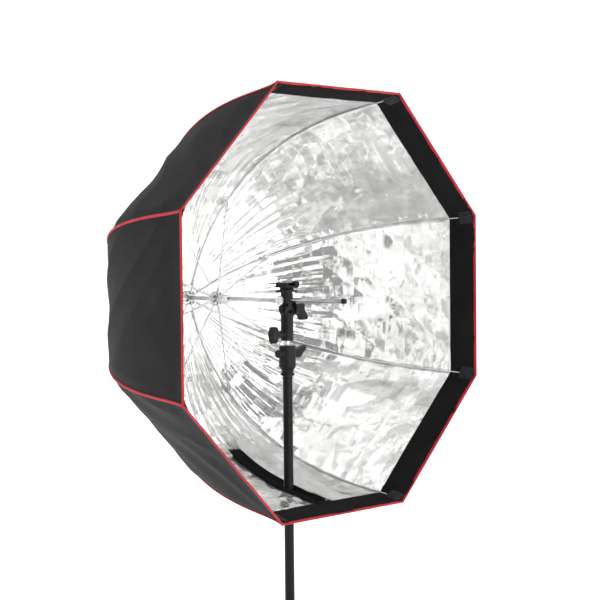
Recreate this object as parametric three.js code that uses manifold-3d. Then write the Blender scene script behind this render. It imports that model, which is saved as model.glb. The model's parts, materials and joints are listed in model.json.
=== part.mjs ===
// Studio softbox: an umbrella-type octagon of fabric on eight hinged ribs, its shaft held by a
// tilting speedlight bracket on the top of a light-stand column.
// Millimetres, +Z up. The softbox opens towards -Y. The origin is the centre of the column's flat
// lower end, and the column's axis is Z. Inside the canopy, depth is counted backwards from the
// plane of the rim, and radius from the shaft's axis.
import * as THREE from "three";
import { mergeVertices } from "three/addons/utils/BufferGeometryUtils.js";
import Module from "manifold-3d";

const wasm = await Module();
wasm.setup();

// Driving dimensions
const SIDES = 8; // the canopy is an octagon with flat sides at top, bottom, left and right
const SHAFT_HEIGHT = 620; // shaft axis above the column's lower end
const BRACKET_DEPTH = 150; // column axis behind the rim plane
// A rib's outline, rim to crown, as the control points of one Bezier curve: [depth, radius]
const RIB_CONTROLS = [
  [0, 433],
  [64.8, 402],
  [410.9, 430.8],
  [469.9, 168.4],
  [441.8, 12],
];
const FABRIC_THICKNESS = 1.6;
const GORE_SAG = 3; // how far a gore's middle is pulled in between its ribs
const SEAM_GAP = 0.3; // each gore stops this far short of its rib's plane
const RIB_INSET = 3.5; // rib centreline inside the fabric's middle
const ROD_RADIUS = 1.7;
const BAND_DEPTH = 56; // hook-and-loop band round the inside of the rim
const BAND_THICKNESS = 1.2;
const LINING_GAP = 1.5; // what is sewn on the inside keeps this far from the gore
const BAND_RIB_GAP = 6; // the band stops this far from each rib's plane
const SLIT_WIDTH = 22; // opening in the bottom gore that the column passes through
const SLIT_FROM = 62;
const SLIT_TO = 300;
const STRIP_WIDTH = 11;
const STRIP_THICKNESS = 1.2;
const TAB_THICKNESS = 2.6;
const EYE_RADIUS = 3;
const HINGE_WIRE_RADIUS = 0.9;
const PLAY = 0.35; // clearance round shafts, wires and pins
const SHAFT_RADIUS = 4;
const HUB_RADIUS = 14.6; // crown and runner, just clear of their hinge wires
const RUNNER_DEPTH = 355; // depth of the stretchers' hinges at the runner
const STRETCHER_AT = 0.7; // where a stretcher meets its rib, along the rib's curve
const TILT_DROP = 16; // tilt bolt below the shaft's axis
const TILT_EAR_RADIUS = 8.5;
const SHOE_SIDE = 30;
const SPIGOT_RADIUS = 8;
const TUBE_RADIUS = 9.5;

// Colours and finishes
const finish = (color, roughness, metalness) =>
  new THREE.MeshStandardMaterial({ color, roughness, metalness });
const outerFabric = finish(0x34343a, 0.85, 0);
const bandFabric = finish(0x202022, 0.95, 0);
const rodMetal = finish(0xb9bcc0, 0.35, 0.9);
const chrome = finish(0xd8dadd, 0.12, 1);
const blackPlastic = finish(0x1b1b1d, 0.5, 0);
const blackPaint = finish(0x161618, 0.38, 0.4);
const steel = finish(0xa8aaad, 0.3, 1);

const softbox = new THREE.Group();

// Solids and booleans
function solidOf(geometry) {
  const bare = geometry.clone();
  bare.deleteAttribute("normal");
  bare.deleteAttribute("uv");
  const merged = mergeVertices(bare, 1e-3);
  const make = (triVerts) =>
    new wasm.Manifold(
      new wasm.Mesh({
        numProp: 3,
        vertProperties: merged.attributes.position.array,
        triVerts,
      }),
    );
  const triangles = new Uint32Array(merged.index.array);
  const made = make(triangles);
  return made.volume() < 0 ? make(triangles.reverse()) : made;
}

function geometryOf(solid) {
  const mesh = solid.getMesh();
  const geometry = new THREE.BufferGeometry();
  const positions = new THREE.BufferAttribute(mesh.vertProperties, 3);
  geometry.setAttribute("position", positions);
  geometry.setIndex(new THREE.BufferAttribute(mesh.triVerts, 1));
  geometry.computeVertexNormals();
  return geometry;
}

const join = (first, ...rest) => rest.reduce((sum, s) => sum.add(s), first);
const cut = (body, ...tools) => tools.reduce((left, s) => left.subtract(s), body);

// Puts a solid on a THREE transform, given as a Matrix4.
function moved(solid, matrix) {
  return solidOf(geometryOf(solid).applyMatrix4(matrix));
}

function addPart(name, solid, material, matrix = new THREE.Matrix4()) {
  const mesh = new THREE.Mesh(geometryOf(solid), material);
  mesh.name = name;
  mesh.applyMatrix4(matrix);
  softbox.add(mesh);
}

function block(x0, x1, y0, y1, z0, z1) {
  const box = new THREE.BoxGeometry(x1 - x0, y1 - y0, z1 - z0);
  return solidOf(box.translate((x0 + x1) / 2, (y0 + y1) / 2, (z0 + z1) / 2));
}

const ALONG = {
  X: new THREE.Matrix4().makeRotationZ(-Math.PI / 2),
  Y: new THREE.Matrix4(),
  Z: new THREE.Matrix4().makeRotationX(Math.PI / 2),
};

// A profile of [radius, place along the axis] turned round the X, Y or Z axis.
function turned(axis, profile, segments = 24) {
  const points = profile.map(([radius, at]) => new THREE.Vector2(radius, at));
  return solidOf(new THREE.LatheGeometry(points, segments).applyMatrix4(ALONG[axis]));
}

const rod = (axis, radius, from, to, segments = 16) =>
  turned(axis, [[0, from], [radius, from], [radius, to], [0, to]], segments);

const tube = (axis, inner, outer, from, to, segments = 24) =>
  turned(
    axis,
    [[inner, from], [outer, from], [outer, to], [inner, to], [inner, from]],
    segments,
  );

const shifted = (solid, x, y, z) =>
  moved(solid, new THREE.Matrix4().makeTranslation(x, y, z));

// Canopy surface
function onCurve(controls, t) {
  if (controls.length === 1) return controls[0];
  const next = controls.slice(1).map(([depth, radius], i) => {
    const [lastDepth, lastRadius] = controls[i];
    return [lastDepth + (depth - lastDepth) * t, lastRadius + (radius - lastRadius) * t];
  });
  return onCurve(next, t);
}

// Depth and radius on the rib's outline at t, moved outwards along the outline's normal.
function outline(t, outwards) {
  const step = 1e-3;
  const [depth, radius] = onCurve(RIB_CONTROLS, t);
  const [d0, r0] = onCurve(RIB_CONTROLS, t - step);
  const [d1, r1] = onCurve(RIB_CONTROLS, t + step);
  const length = Math.hypot(d1 - d0, r1 - r0);
  return {
    depth: depth + (outwards * (r0 - r1)) / length,
    radius: radius + (outwards * (d1 - d0)) / length,
  };
}

function depthToT(depth) {
  let low = 0;
  let high = 0.6;
  for (let i = 0; i < 30; i++) {
    const middle = (low + high) / 2;
    if (onCurve(RIB_CONTROLS, middle)[0] < depth) low = middle;
    else high = middle;
  }
  return low;
}

const HALF_ANGLE = Math.PI / SIDES;
const goreAngle = (i) => Math.PI / 2 - (2 * Math.PI * i) / SIDES;
const ribAngle = (i) => goreAngle(i) - HALF_ANGLE;
const RIM_RADIUS = RIB_CONTROLS[0][1];
const CURVE_STEPS = 20; // the gores and ribs share their steps, so that their facets run side by side
const APEX_T = 0.985;
const ROD_END_T = 0.987; // where a rib's round rod runs into its hinge tab

// A point of a gore, in the frame where depth is Y, "out" is X and "across" is Z.
// u runs from -1 to 1 between the gore's two ribs.
function onGore(t, u, outwards) {
  const sag = GORE_SAG * Math.sin(Math.PI * Math.min(1, t / APEX_T)) * (1 - u * u);
  const { depth, radius } = outline(t, outwards - sag);
  const rib = outline(t, outwards);
  const halfWidth = rib.radius * Math.sin(HALF_ANGLE) - SEAM_GAP;
  return new THREE.Vector3(radius * Math.cos(HALF_ANGLE), depth, u * halfWidth);
}

// Turns the canopy's own frame round the shaft and places it on the column.
function canopyFrame(angle) {
  const place = new THREE.Matrix4().makeTranslation(0, -BRACKET_DEPTH, SHAFT_HEIGHT);
  return place.multiply(new THREE.Matrix4().makeRotationY(-angle));
}

// A thin closed shell between two sides of one surface: point(row, column, side).
function shell(rows, columns, point) {
  const positions = [];
  const index = [];
  const at = (i, j, side) => (side * (rows + 1) + i) * (columns + 1) + j;
  for (let side = 0; side < 2; side++)
    for (let i = 0; i <= rows; i++)
      for (let j = 0; j <= columns; j++)
        positions.push(...point(i / rows, j / columns, side).toArray());
  const quad = (a, b, c, d) => index.push(a, b, c, a, c, d);
  for (let i = 0; i < rows; i++)
    for (let j = 0; j < columns; j++) {
      quad(at(i, j, 0), at(i, j + 1, 0), at(i + 1, j + 1, 0), at(i + 1, j, 0));
      quad(at(i, j, 1), at(i + 1, j, 1), at(i + 1, j + 1, 1), at(i, j + 1, 1));
    }
  for (let i = 0; i < rows; i++) {
    quad(at(i, 0, 0), at(i + 1, 0, 0), at(i + 1, 0, 1), at(i, 0, 1));
    quad(at(i, columns, 0), at(i, columns, 1), at(i + 1, columns, 1), at(i + 1, columns, 0));
  }
  for (let j = 0; j < columns; j++) {
    quad(at(0, j, 0), at(0, j, 1), at(0, j + 1, 1), at(0, j + 1, 0));
    quad(at(rows, j, 0), at(rows, j + 1, 0), at(rows, j + 1, 1), at(rows, j, 1));
  }
  const geometry = new THREE.BufferGeometry();
  geometry.setAttribute("position", new THREE.Float32BufferAttribute(positions, 3));
  geometry.setIndex(index);
  return solidOf(geometry);
}

const PLACES = [
  "top",
  "top_right",
  "right",
  "bottom_right",
  "bottom",
  "bottom_left",
  "left",
  "top_left",
];
const BOTTOM = PLACES.indexOf("bottom");

function addGores() {
  const half = FABRIC_THICKNESS / 2;
  const gore = shell(CURVE_STEPS, 3, (v, w, side) =>
    onGore(v * APEX_T, 2 * w - 1, side ? half : -half),
  );
  const slit = block(250, 460, SLIT_FROM, SLIT_TO, -SLIT_WIDTH / 2, SLIT_WIDTH / 2);
  PLACES.forEach((place, i) => {
    const solid = i === BOTTOM ? cut(gore, slit) : gore;
    addPart(`gore_${place}`, solid, outerFabric, canopyFrame(goreAngle(i)));
  });
}

function addBands() {
  const outer = -FABRIC_THICKNESS / 2 - LINING_GAP;
  const lastT = depthToT(BAND_DEPTH);
  const reach = 1 - BAND_RIB_GAP / (RIM_RADIUS * Math.sin(HALF_ANGLE));
  const band = shell(3, 4, (v, w, side) =>
    onGore(v * lastT, (2 * w - 1) * reach, side ? outer : outer - BAND_THICKNESS),
  );
  PLACES.forEach((place, i) =>
    addPart(`rim_band_${place}`, band, bandFabric, canopyFrame(goreAngle(i))),
  );
}

// Hook-and-loop strips along both lips of the slit, on the gore's inside.
function addSlitStrips() {
  const outer = -FABRIC_THICKNESS / 2 - LINING_GAP;
  const [from, to] = [depthToT(SLIT_FROM), depthToT(SLIT_TO + 8)];
  const inEdge = SLIT_WIDTH / 2 + 0.5;
  for (const [name, sign] of [["left", -1], ["right", 1]]) {
    const strip = shell(10, 1, (v, w, side) => {
      const t = from + (to - from) * v;
      const p = onGore(t, 0, side ? outer : outer - STRIP_THICKNESS);
      return new THREE.Vector3(p.x, p.y, sign * (inEdge + w * STRIP_WIDTH));
    });
    addPart(`slit_strip_${name}`, strip, bandFabric, canopyFrame(goreAngle(BOTTOM)));
  }
}

// Ribs and stretchers lie in the canopy frame's X-Y plane: X is radius and Y is depth.
const ribPoint = (t) => {
  const { depth, radius } = outline(t, -RIB_INSET);
  return new THREE.Vector3(radius, depth, 0);
};
const CROWN_HINGE = ribPoint(1);
const HINGE_RING_RADIUS = CROWN_HINGE.x;
const RUNNER_HINGE = new THREE.Vector3(HINGE_RING_RADIUS, RUNNER_DEPTH, 0);
const STRETCHER_END = ribPoint(STRETCHER_AT);

class RibCurve extends THREE.Curve {
  constructor(from, to) {
    super();
    this.from = from;
    this.to = to;
  }
  getPoint(s) {
    return ribPoint(this.from + (this.to - this.from) * s);
  }
}

// A flat hinge tab with a round eye at the origin, reaching along X.
function hingeTab(length) {
  const half = TAB_THICKNESS / 2;
  const bar = block(0, length, -1.6, 1.6, -half, half);
  const eye = rod("Z", EYE_RADIUS, -half, half, 12);
  const hole = rod("Z", HINGE_WIRE_RADIUS + PLAY + 0.1, -half - 1, half + 1, 8);
  return cut(join(eye, bar), hole);
}

// Moves what was made along X from the origin so that it runs from one point towards another.
function aimed(from, towards) {
  const way = towards.clone().sub(from);
  const turn = new THREE.Matrix4().makeRotationZ(Math.atan2(way.y, way.x));
  return new THREE.Matrix4().makeTranslation(from.x, from.y, 0).multiply(turn);
}

function addRibs() {
  const circle = new THREE.Shape().absarc(0, 0, ROD_RADIUS, 0, 2 * Math.PI);
  const tip = depthToT(10);
  const rodGeometry = new THREE.ExtrudeGeometry(circle, {
    steps: CURVE_STEPS,
    curveSegments: 3,
    bevelEnabled: false,
    extrudePath: new RibCurve(tip, ROD_END_T),
  });
  const tab = moved(hingeTab(12), aimed(CROWN_HINGE, ribPoint(0.97)));
  const rib = join(solidOf(rodGeometry), tab);
  for (let i = 0; i < SIDES; i++)
    addPart(`rib_${i + 1}`, rib, rodMetal, canopyFrame(ribAngle(i)));
}

// A rod with an eye at the runner and a fork that straddles its rib. The fork's pin is left out:
// this is where the linkage is open, so the fork's web keeps clear of the rib.
function addStretchers() {
  const length = STRETCHER_END.distanceTo(RUNNER_HINGE);
  const cheekInside = ROD_RADIUS + 0.6;
  const cheekOutside = cheekInside + 1.2;
  const web = block(length - 22, length - 12, -2, 2, -cheekOutside, cheekOutside);
  const cheeks = [-1, 1].map((side) => {
    const [a, b] = [side * cheekInside, side * cheekOutside];
    return block(length - 13, length - 2.5, -2, 2, Math.min(a, b), Math.max(a, b));
  });
  const bar = rod("X", ROD_RADIUS, 8, length - 16, 6);
  const stretcher = moved(
    join(hingeTab(12), bar, web, ...cheeks),
    aimed(RUNNER_HINGE, STRETCHER_END),
  );
  for (let i = 0; i < SIDES; i++)
    addPart(`stretcher_${i + 1}`, stretcher, rodMetal, canopyFrame(ribAngle(i)));
}

// Radial slots for the eight hinge tabs and a groove for the hinge wire, cut from a hub.
function hingeSlots(hub, slotFrom, slotTo, grooveFrom, grooveTo) {
  const half = TAB_THICKNESS / 2 + PLAY;
  const slots = [];
  for (let i = 0; i < SIDES; i++) {
    const slot = block(HINGE_RING_RADIUS - 4.6, 40, slotFrom, slotTo, -half, half);
    slots.push(moved(slot, new THREE.Matrix4().makeRotationY(-ribAngle(i))));
  }
  const reach = HINGE_WIRE_RADIUS + PLAY;
  const groove = tube(
    "Y",
    HINGE_RING_RADIUS - reach,
    HINGE_RING_RADIUS + reach,
    grooveFrom,
    grooveTo,
    32,
  );
  return cut(hub, ...slots, groove);
}

function hingeRing(depth) {
  const ring = new THREE.TorusGeometry(HINGE_RING_RADIUS, HINGE_WIRE_RADIUS, 5, 32);
  return solidOf(ring.rotateX(Math.PI / 2).translate(0, depth, 0));
}

function addShaftAndCrown() {
  const level = canopyFrame(0);
  const bore = SHAFT_RADIUS + PLAY;
  const crownFront = CROWN_HINGE.y - 8;
  const crownBack = CROWN_HINGE.y + 7;
  addPart("shaft", rod("Y", SHAFT_RADIUS, -4, crownBack - 2), chrome, level);
  const cap = turned("Y", [
    [0, -6.6],
    [4, -6.6],
    [5, -5.6],
    [5, 1],
    [bore, 1],
    [bore, -4.6],
    [0, -4.6],
  ]);
  addPart("shaft_end_cap", cap, blackPlastic, level);
  const hub = tube("Y", bore, HUB_RADIUS, crownFront, crownBack, 32);
  const crown = hingeSlots(
    hub,
    crownFront - 1,
    crownBack + 1,
    CROWN_HINGE.y - HINGE_WIRE_RADIUS - PLAY,
    crownBack + 1,
  );
  addPart("crown", crown, steel, level);
  addPart("crown_hinge_ring", hingeRing(CROWN_HINGE.y), steel, level);
  const crownCap = turned("Y", [
    [0, crownBack + 0.4],
    [HUB_RADIUS, crownBack + 0.4],
    [HUB_RADIUS, crownBack + 3],
    [12, crownBack + 7],
    [0, crownBack + 9],
  ]);
  addPart("crown_cap", crownCap, blackPlastic, level);
}

function addRunner() {
  const level = canopyFrame(0);
  const bore = SHAFT_RADIUS + PLAY;
  const front = RUNNER_DEPTH - 41;
  const flange = RUNNER_DEPTH - 8;
  const back = RUNNER_DEPTH + 7;
  const body = turned(
    "Y",
    [
      [bore, front],
      [8, front],
      [8.6, front + 1.5],
      [8.6, flange],
      [HUB_RADIUS, flange],
      [HUB_RADIUS, back],
      [bore, back],
      [bore, front],
    ],
    32,
  );
  const runner = hingeSlots(
    body,
    flange - 1,
    back + 1,
    RUNNER_DEPTH - HINGE_WIRE_RADIUS - PLAY,
    back + 1,
  );
  const buttonAt = front + 13;
  const buttonHole = shifted(rod("X", 3.4, 6, 20), 0, buttonAt, 0);
  addPart("runner", cut(runner, buttonHole), steel, level);
  addPart("runner_hinge_ring", hingeRing(RUNNER_DEPTH), steel, level);
  const button = shifted(rod("X", 3, 8.4, 12), 0, buttonAt, 0);
  addPart("runner_button", button, blackPlastic, level);
}

// Bracket. Z is counted from the shaft's axis, and the column's axis is Z.
const atShaft = new THREE.Matrix4().makeTranslation(0, 0, SHAFT_HEIGHT);
const HEAD_RADIUS = 12;
const EAR_GAP = 5.4; // inside faces of the socket's two ears

function addHead() {
  const neck = rod("Z", HEAD_RADIUS, 0.5 - (TILT_DROP - TILT_EAR_RADIUS), 15);
  const ear = shifted(rod("X", TILT_EAR_RADIUS, -5, 5), 0, 0, -TILT_DROP);
  const web = block(-5, 5, -TILT_EAR_RADIUS, TILT_EAR_RADIUS, -TILT_DROP, -4);
  const shaftBore = rod("Y", SHAFT_RADIUS + PLAY, -20, 20);
  const boltBore = shifted(rod("X", 3 + PLAY, -20, 20), 0, 0, -TILT_DROP);
  const screwBore = rod("X", 2.5 + PLAY, -20, -2);
  const head = cut(join(neck, ear, web), shaftBore, boltBore, screwBore);
  addPart("tilt_head", head, blackPlastic, atShaft);
  const screw = join(
    rod("X", 2.5, -15, -4.6),
    rod("X", 4.5, -17, -14.5),
    rod("X", 8, -24, -16.5),
  );
  addPart("shaft_lock_screw", screw, steel, atShaft);
}

function addShoe() {
  const half = SHOE_SIDE / 2;
  addPart("shoe_base", block(-half, half, -half, half, 15.4, 19.4), blackPlastic, atShaft);
  addPart("shoe_lock_ring", rod("Z", 11, 19.7, 24.3), blackPlastic, atShaft);
  const body = block(-half, half, -half, half, 24.6, 34);
  const channel = block(-9.4, 9.4, -half - 1, half - 3, 28.2, 32);
  const mouth = block(-6.6, 6.6, -half - 1, half - 3, 31, 40);
  const screwBore = shifted(rod("X", 2 + PLAY, 4, 40), 0, 0, 30);
  addPart("cold_shoe", cut(body, channel, mouth, screwBore), blackPaint, atShaft);
  const knob = join(rod("X", 2, 11, 20), rod("X", 6, 19, 30));
  addPart("shoe_clamp_knob", shifted(knob, 0, 0, 30), blackPlastic, atShaft);
}

const SOCKET_BOTTOM = -79;
const SOCKET_ROOF = -44;
const KNOB_DROP = 67;

function addSocket() {
  const radius = 12.25;
  const shoulder = -TILT_DROP - TILT_EAR_RADIUS - 1;
  const barrel = rod("Z", radius, SOCKET_BOTTOM, shoulder);
  const ears = [-1, 1].map((side) => {
    const [a, b] = [side * EAR_GAP, side * radius];
    const [low, high] = [Math.min(a, b), Math.max(a, b)];
    return join(
      shifted(rod("X", TILT_EAR_RADIUS, low, high), 0, 0, -TILT_DROP),
      block(low, high, -TILT_EAR_RADIUS, TILT_EAR_RADIUS, shoulder - 1, -TILT_DROP),
    );
  });
  const spigotBore = rod("Z", SPIGOT_RADIUS + PLAY, SOCKET_BOTTOM - 1, SOCKET_ROOF);
  const boltBore = shifted(rod("X", 3 + PLAY, -20, 20), 0, 0, -TILT_DROP);
  const boss = shifted(rod("X", 7, -16, -10), 0, 0, -KNOB_DROP);
  const knobBore = shifted(rod("X", 3 + PLAY, -30, 0), 0, 0, -KNOB_DROP);
  const socket = cut(join(barrel, ...ears, boss), spigotBore, boltBore, knobBore);
  addPart("socket_body", socket, blackPlastic, atShaft);

  const bolt = join(rod("X", 3, -14, 20), rod("X", 6, -17, -12.7));
  addPart("tilt_bolt", shifted(bolt, 0, 0, -TILT_DROP), steel, atShaft);

  const oval = new THREE.Shape().absellipse(0, 0, 16.5, 8, 0, 2 * Math.PI);
  const wing = new THREE.ExtrudeGeometry(oval, {
    depth: 14,
    curveSegments: 10,
    bevelEnabled: false,
  });
  wing.rotateY(-Math.PI / 2).translate(-30, 0, 0);
  const knob = join(
    rod("X", 3, -28, -SPIGOT_RADIUS - 0.5),
    rod("X", 6.5, -31, -16.6),
    solidOf(wing),
  );
  addPart("socket_lock_knob", shifted(knob, 0, 0, -KNOB_DROP), blackPlastic, atShaft);
}

// A ratchet lever with a broad two-lobed blade that hangs down and outwards from the tilt bolt.
function addTiltLever() {
  const hub = turned("X", [
    [3 + PLAY, 13],
    [9, 13],
    [9, 22],
    [6, 26],
    [0, 26],
    [0, 20.6],
    [3 + PLAY, 20.6],
    [3 + PLAY, 13],
  ]);
  const side = new THREE.Shape();
  side.moveTo(15, 7);
  side.lineTo(41, 9);
  side.quadraticCurveTo(46, 8, 44, -4);
  side.quadraticCurveTo(48, -10, 53, -17);
  side.quadraticCurveTo(54, -22, 49, -24);
  side.lineTo(37, -24);
  side.quadraticCurveTo(33, -13, 22, -8);
  side.closePath();
  const blade = new THREE.ExtrudeGeometry(side, {
    depth: 11,
    curveSegments: 4,
    bevelEnabled: false,
  });
  blade.rotateX(Math.PI / 2).translate(0, 5.5, 0);
  const boltRoom = rod("X", 3 + PLAY, 12, 20.6);
  const lever = cut(join(hub, solidOf(blade)), boltRoom);
  addPart("tilt_lever", shifted(lever, 0, 0, -TILT_DROP), blackPlastic, atShaft);
}

// Column. Z is counted from the column's lower end.
const COLLAR_BOTTOM = SHAFT_HEIGHT - 147;
const COLLAR_TOP = SHAFT_HEIGHT - 89;
const TUBE_TOP = COLLAR_TOP - 20;
const CLAMP_HEIGHT = SHAFT_HEIGHT - 104;

function addColumn() {
  const wall = 1.05;
  addPart("column_tube", tube("Z", TUBE_RADIUS - wall, TUBE_RADIUS, 3, TUBE_TOP), blackPaint);
  const plug = turned("Z", [
    [0, 0],
    [TUBE_RADIUS, 0],
    [TUBE_RADIUS, 2.7],
    [TUBE_RADIUS - wall - 0.4, 2.7],
    [TUBE_RADIUS - wall - 0.4, 22],
    [0, 22],
  ]);
  addPart("column_end_plug", plug, blackPlastic);

  const innerTop = COLLAR_TOP;
  addPart("inner_tube", tube("Z", 6.8, SPIGOT_RADIUS, 200, innerTop), steel);
  const spigot = turned("Z", [
    [0, innerTop - 30],
    [6.4, innerTop - 30],
    [6.4, innerTop + 0.4],
    [7.4, innerTop + 0.4],
    [5.3, innerTop + 2],
    [5.3, innerTop + 9.5],
    [SPIGOT_RADIUS, innerTop + 11],
    [SPIGOT_RADIUS, SHAFT_HEIGHT + SOCKET_ROOF - 2],
    [7, SHAFT_HEIGHT + SOCKET_ROOF - 0.6],
    [0, SHAFT_HEIGHT + SOCKET_ROOF - 0.6],
  ]);
  addPart("spigot", spigot, steel);
}

function addCollar() {
  const tubeBore = TUBE_RADIUS + PLAY;
  const innerBore = SPIGOT_RADIUS + PLAY;
  const body = turned(
    "Z",
    [
      [tubeBore, COLLAR_BOTTOM],
      [14, COLLAR_BOTTOM],
      [14, COLLAR_BOTTOM + 4.5],
      [11.8, COLLAR_BOTTOM + 5.5],
      [11.8, COLLAR_BOTTOM + 10],
      [16.5, COLLAR_BOTTOM + 17],
      [16.5, COLLAR_TOP - 2],
      [15, COLLAR_TOP],
      [innerBore, COLLAR_TOP],
      [innerBore, TUBE_TOP + 0.4],
      [tubeBore, TUBE_TOP + 0.4],
      [tubeBore, COLLAR_BOTTOM],
    ],
    28,
  );
  const boss = shifted(rod("X", 8, 10, 20), 0, 0, CLAMP_HEIGHT);
  const nutBoss = shifted(rod("X", 8, -20, -10), 0, 0, CLAMP_HEIGHT);
  const room = rod("Z", tubeBore, COLLAR_BOTTOM - 1, TUBE_TOP + 0.4);
  const throat = rod("Z", innerBore, TUBE_TOP - 1, COLLAR_TOP + 1);
  const bores = shifted(rod("X", 3 + PLAY, -30, 30), 0, 0, CLAMP_HEIGHT);
  const collar = cut(join(body, boss, nutBoss), room, throat, bores);
  addPart("clamp_collar", collar, blackPlastic);

  const nut = join(rod("X", 3, -22, -SPIGOT_RADIUS - 1.2), rod("X", 8, -27, -20.4, 12));
  addPart("clamp_nut", shifted(nut, 0, 0, CLAMP_HEIGHT), blackPlastic);

  const wing = new THREE.Shape();
  wing.moveTo(21, -8);
  wing.lineTo(21, 6);
  wing.quadraticCurveTo(30, 10, 41, 14);
  wing.quadraticCurveTo(49, 16, 48, 7);
  wing.quadraticCurveTo(40, -1, 31, -10);
  wing.closePath();
  const blade = new THREE.ExtrudeGeometry(wing, {
    depth: 9,
    curveSegments: 5,
    bevelEnabled: false,
  });
  blade.rotateX(Math.PI / 2).translate(0, 4.5, 0);
  const knob = join(
    rod("X", 3, SPIGOT_RADIUS + 1.2, 24),
    rod("X", 7, 20.6, 29),
    solidOf(blade),
  );
  addPart("clamp_wing_knob", shifted(knob, 0, 0, CLAMP_HEIGHT), blackPlastic);
}

addGores();
addBands();
addSlitStrips();
addRibs();
addStretchers();
addShaftAndCrown();
addRunner();
addHead();
addShoe();
addSocket();
addTiltLever();
addColumn();
addCollar();

export default softbox;
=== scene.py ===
import json
import math

import bmesh
import bpy
import numpy as np
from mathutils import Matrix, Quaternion, Vector

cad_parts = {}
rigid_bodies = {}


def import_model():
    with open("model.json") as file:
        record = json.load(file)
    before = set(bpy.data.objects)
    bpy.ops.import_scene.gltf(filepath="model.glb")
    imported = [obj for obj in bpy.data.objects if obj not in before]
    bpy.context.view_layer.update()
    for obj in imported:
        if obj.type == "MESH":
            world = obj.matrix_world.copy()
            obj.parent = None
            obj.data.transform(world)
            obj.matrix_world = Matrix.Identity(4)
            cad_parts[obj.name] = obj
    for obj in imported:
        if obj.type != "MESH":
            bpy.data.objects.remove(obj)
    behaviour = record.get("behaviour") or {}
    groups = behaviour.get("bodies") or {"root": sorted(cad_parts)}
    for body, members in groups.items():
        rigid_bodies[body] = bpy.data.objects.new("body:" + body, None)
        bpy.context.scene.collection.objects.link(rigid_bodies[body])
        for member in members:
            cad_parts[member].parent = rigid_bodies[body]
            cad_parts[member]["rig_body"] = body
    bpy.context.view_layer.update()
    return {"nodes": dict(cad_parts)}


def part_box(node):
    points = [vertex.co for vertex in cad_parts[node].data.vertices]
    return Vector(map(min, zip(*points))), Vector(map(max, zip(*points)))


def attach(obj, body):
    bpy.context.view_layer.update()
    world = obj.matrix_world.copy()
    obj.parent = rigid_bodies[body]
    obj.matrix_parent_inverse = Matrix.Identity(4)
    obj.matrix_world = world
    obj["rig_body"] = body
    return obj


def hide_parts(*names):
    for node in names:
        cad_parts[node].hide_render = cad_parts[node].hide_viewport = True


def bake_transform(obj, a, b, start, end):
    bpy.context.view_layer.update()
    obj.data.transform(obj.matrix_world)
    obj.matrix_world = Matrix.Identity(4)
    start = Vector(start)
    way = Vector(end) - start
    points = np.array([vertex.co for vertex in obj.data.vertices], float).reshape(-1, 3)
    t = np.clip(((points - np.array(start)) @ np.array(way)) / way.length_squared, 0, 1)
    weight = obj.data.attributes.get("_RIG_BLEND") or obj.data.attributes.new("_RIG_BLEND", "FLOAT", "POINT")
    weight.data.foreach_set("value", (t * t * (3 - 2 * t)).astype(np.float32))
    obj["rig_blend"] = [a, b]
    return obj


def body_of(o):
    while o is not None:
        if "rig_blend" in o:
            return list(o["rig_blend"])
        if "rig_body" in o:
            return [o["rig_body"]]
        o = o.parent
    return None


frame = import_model()
scene = bpy.context.scene
scene.view_settings.view_transform = "Standard"


def boxCentre(node):
    low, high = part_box(node)
    return (low + high) / 2


# the shaft gives the softbox's axis, and the top gore's front edge the plane of the rim
axisHeight = boxCentre("shaft").z
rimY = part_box("gore_top")[0].y


cameraSettings = {
    "azimuth": -45.304,
    "elevation": 1.899,
    "roll": -0.581,
    "position": (-2.0825, -2.0967, 0.7178),
    "lens": 91.02,
    "sensor": 36.0,
}


def makeCamera(settings):
    turn, lift = math.radians(settings["azimuth"]), math.radians(settings["elevation"])
    back = Vector((math.sin(turn) * math.cos(lift), -math.cos(turn) * math.cos(lift), math.sin(lift)))
    data = bpy.data.cameras.new("studioCamera")
    data.lens = settings["lens"]
    data.sensor_width = settings["sensor"]
    data.dof.use_dof = False
    camera = bpy.data.objects.new("studioCamera", data)
    scene.collection.objects.link(camera)
    camera.rotation_mode = "QUATERNION"
    roll = Quaternion(back, math.radians(settings["roll"]))
    camera.rotation_quaternion = roll @ back.to_track_quat("Z", "Y")
    camera.location = settings["position"]
    scene.camera = camera


makeCamera(cameraSettings)
print("camera placed")

studioSettings = {
    "backdrop": 1.25,
    # the white paper is behind and to the right, the dim room behind the camera
    "towardsPaper": (0.74, 0.42, 0.52),
    "dimRoom": (0.27, 0.27, 0.272),
    "paper": (0.85, 0.85, 0.84),
    "floorHalf": 30.0,
    "floorColor": (0.95, 0.95, 0.95, 1),
    "floorGlow": 0.7,
    # name: (place, aimed at, width, height, watts)
    "lamps": {
        "frontPanel": ((0.4, -4.0, 1.3), (0.0, 0.1, 0.6), 0.9, 3.0, 15),
        "secondPanel": ((2.2, -3.4, 1.3), (0.0, 0.1, 0.6), 0.9, 3.0, 15),
        "thirdPanel": ((3.8, -1.8, 1.3), (0.0, 0.1, 0.6), 0.9, 3.0, 15),
        "overPanel": ((1.0, -2.0, 3.6), (0.0, 0.1, 0.6), 3.0, 1.2, 34),
        "sidePanel": ((-3.6, 0.6, 2.0), (-0.3, 0.1, 0.6), 1.0, 1.6, 46),
        "lowPanel": ((-0.6, -2.8, 0.5), (0.1, 0.1, 0.6), 0.5, 0.9, 12),
    },
}


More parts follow.
